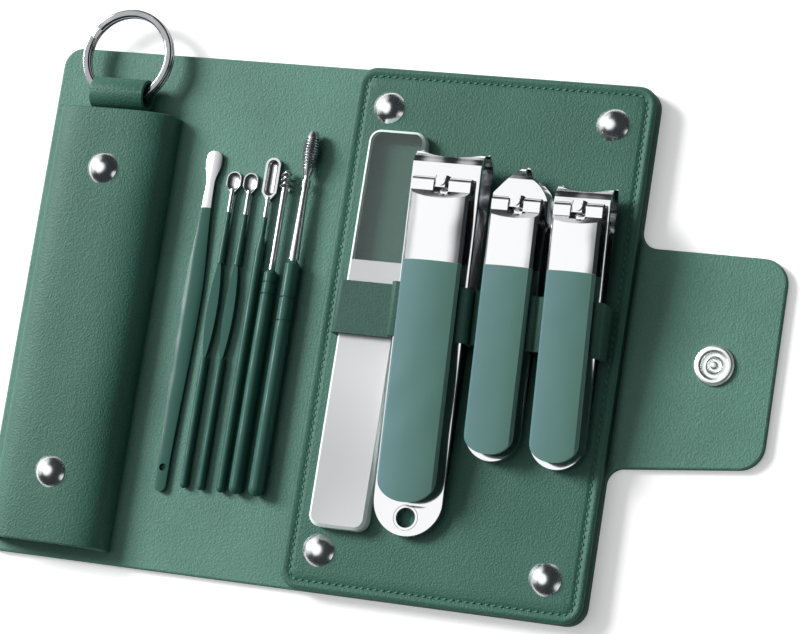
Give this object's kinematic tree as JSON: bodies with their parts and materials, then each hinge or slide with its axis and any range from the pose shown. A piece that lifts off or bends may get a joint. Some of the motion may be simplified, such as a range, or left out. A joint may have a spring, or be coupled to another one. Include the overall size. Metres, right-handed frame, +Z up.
{
  "type": "manicure set case",
  "caption": "Folding leather manicure case lying open, with nail clippers, a glass file and ear tools, a padded sleeve, a key ring and a snap flap.",
  "frame": {"origin": "middle of the whole open set's box, on the surface that it lies on", "axes": "+Z up from the leather's underside, +X towards the snap flap, +Y towards the key ring"},
  "size_m": [0.173, 0.1236, 0.0182],
  "materials": {
    "leather": "satin",
    "board": "matte",
    "chrome": "polished",
    "enamel": "gloss",
    "glass": "clear and frosted"
  },
  "bodies": {
    "base": {"cover_right": "leather", "panel_skin": "leather", "panel_board": "board", "panel_rivets": "chrome", "tool_strap": "leather"},
    "spine": {"cover_spine": "leather"},
    "left_half": {"cover_left": "leather", "sleeve": "leather", "sleeve_rivets": "chrome", "ring_strap": "leather", "snap_stud": "chrome"},
    "ring": {"key_ring": "chrome"},
    "flap": {"cover_flap": "leather", "snap_socket": "chrome", "snap_cap": "chrome"},
    "file": {"glass_file": "glass"},
    "large_clipper": {"large_lower_arm": "chrome", "large_eyelet": "chrome", "large_pin_post": "chrome"},
    "large_top_arm": {"large_upper_arm": "chrome"},
    "large_thumb_lever": {"large_lever": "enamel"},
    "diagonal_clipper": {"diagonal_lower_arm": "chrome", "diagonal_eyelet": "chrome", "diagonal_pin_post": "chrome"},
    "diagonal_top_arm": {"diagonal_upper_arm": "chrome"},
    "diagonal_thumb_lever": {"diagonal_lever": "enamel"},
    "small_clipper": {"small_lower_arm": "chrome", "small_eyelet": "chrome", "small_pin_post": "chrome"},
    "small_top_arm": {"small_upper_arm": "chrome"},
    "small_thumb_lever": {"small_lever": "enamel"},
    "spatula": {"ear_spatula": "enamel"},
    "scoop_one": {"ear_scoop_left": "enamel"},
    "scoop_two": {"ear_scoop_right": "enamel"},
    "spoon": {"ear_spoon": "enamel"},
    "screw_pick": {"screw_pick_handle": "enamel", "screw_pick_shaft": "chrome"},
    "ribbed_pick": {"ribbed_pick_handle": "enamel", "ribbed_pick_shaft": "chrome"}
  },
  "joints": [
    {"name": "spine_fold", "type": "hinge", "parent": "base", "child": "spine", "pos_m": [-0.0144, -0.00434, 0.0018], "axis": [0, -1, 0], "range_deg": [-90, 0]},
    {"name": "left_fold", "type": "hinge", "parent": "spine", "child": "left_half", "pos_m": [-0.0429, -0.00434, 0.0018], "axis": [0, -1, 0], "range_deg": [-90, 0]},
    {"name": "flap_fold", "type": "hinge", "parent": "base", "child": "flap", "pos_m": [0.0561, -0.00434, 0.0018], "axis": [0, 1, 0], "range_deg": [-113, 0]},
    {"name": "ring_swing", "type": "hinge", "parent": "left_half", "child": "ring", "pos_m": [-0.0691, 0.0423, 0.00544], "axis": [1, 0, 0], "range_deg": [0, 120]},
    {"name": "file_slide", "type": "slide", "parent": "base", "child": "file", "axis": [0, 1, 0], "range_m": [0, 0.0015]},
    {"name": "large_draw", "type": "slide", "parent": "base", "child": "large_clipper", "axis": [0, 0.9949, 0.1009], "range_m": [0, 0.055]},
    {"name": "large_press", "type": "hinge", "parent": "large_clipper", "child": "large_top_arm", "pos_m": [0.0135, -0.04134, 0.0059], "axis": [-1, 0, 0], "range_deg": [0, 1.65], "stiffness_Nm_per_rad": 20},
    {"name": "large_lift", "type": "hinge", "parent": "large_clipper", "child": "large_thumb_lever", "pos_m": [0.0135, 0.02636, 0.01604], "axis": [-1, 0, 0], "range_deg": [0, 110]},
    {"name": "diagonal_draw", "type": "slide", "parent": "base", "child": "diagonal_clipper", "axis": [0, 0.9955, 0.0945], "range_m": [0, 0.055]},
    {"name": "diagonal_press", "type": "hinge", "parent": "diagonal_clipper", "child": "diagonal_top_arm", "pos_m": [0.02975, -0.02354, 0.0059], "axis": [-1, 0, 0], "range_deg": [0, 2.2], "stiffness_Nm_per_rad": 12},
    {"name": "diagonal_lift", "type": "hinge", "parent": "diagonal_clipper", "child": "diagonal_thumb_lever", "pos_m": [0.02975, 0.02396, 0.01371], "axis": [-1, 0, 0], "range_deg": [0, 110]},
    {"name": "small_draw", "type": "slide", "parent": "base", "child": "small_clipper", "axis": [-0.0139, 0.9954, 0.0945], "range_m": [0, 0.055]},
    {"name": "small_press", "type": "hinge", "parent": "small_clipper", "child": "small_top_arm", "pos_m": [0.04411, -0.02374, 0.0059], "axis": [-0.9999, -0.014, 0], "range_deg": [0, 2.35], "stiffness_Nm_per_rad": 12},
    {"name": "small_lift", "type": "hinge", "parent": "small_clipper", "child": "small_thumb_lever", "pos_m": [0.04344, 0.02396, 0.01374], "axis": [-0.9999, -0.014, 0], "range_deg": [0, 110]},
    {"name": "spatula_take_out", "type": "slide", "parent": "left_half", "child": "spatula", "axis": [0, 0, 1], "range_m": [0, 0.04]},
    {"name": "scoop_one_take_out", "type": "slide", "parent": "spine", "child": "scoop_one", "axis": [0, 0, 1], "range_m": [0, 0.04]},
    {"name": "scoop_two_take_out", "type": "slide", "parent": "spine", "child": "scoop_two", "axis": [0, 0, 1], "range_m": [0, 0.04]},
    {"name": "spoon_take_out", "type": "slide", "parent": "spine", "child": "spoon", "axis": [0, 0, 1], "range_m": [0, 0.04]},
    {"name": "screw_pick_take_out", "type": "slide", "parent": "spine", "child": "screw_pick", "axis": [0, 0, 1], "range_m": [0, 0.04]},
    {"name": "ribbed_pick_take_out", "type": "slide", "parent": "spine", "child": "ribbed_pick", "axis": [0, 0, 1], "range_m": [0, 0.04]}
  ],
  "couplings": [
    {"joint": "left_fold", "follows": "spine_fold", "ratio": 1}
  ]
}
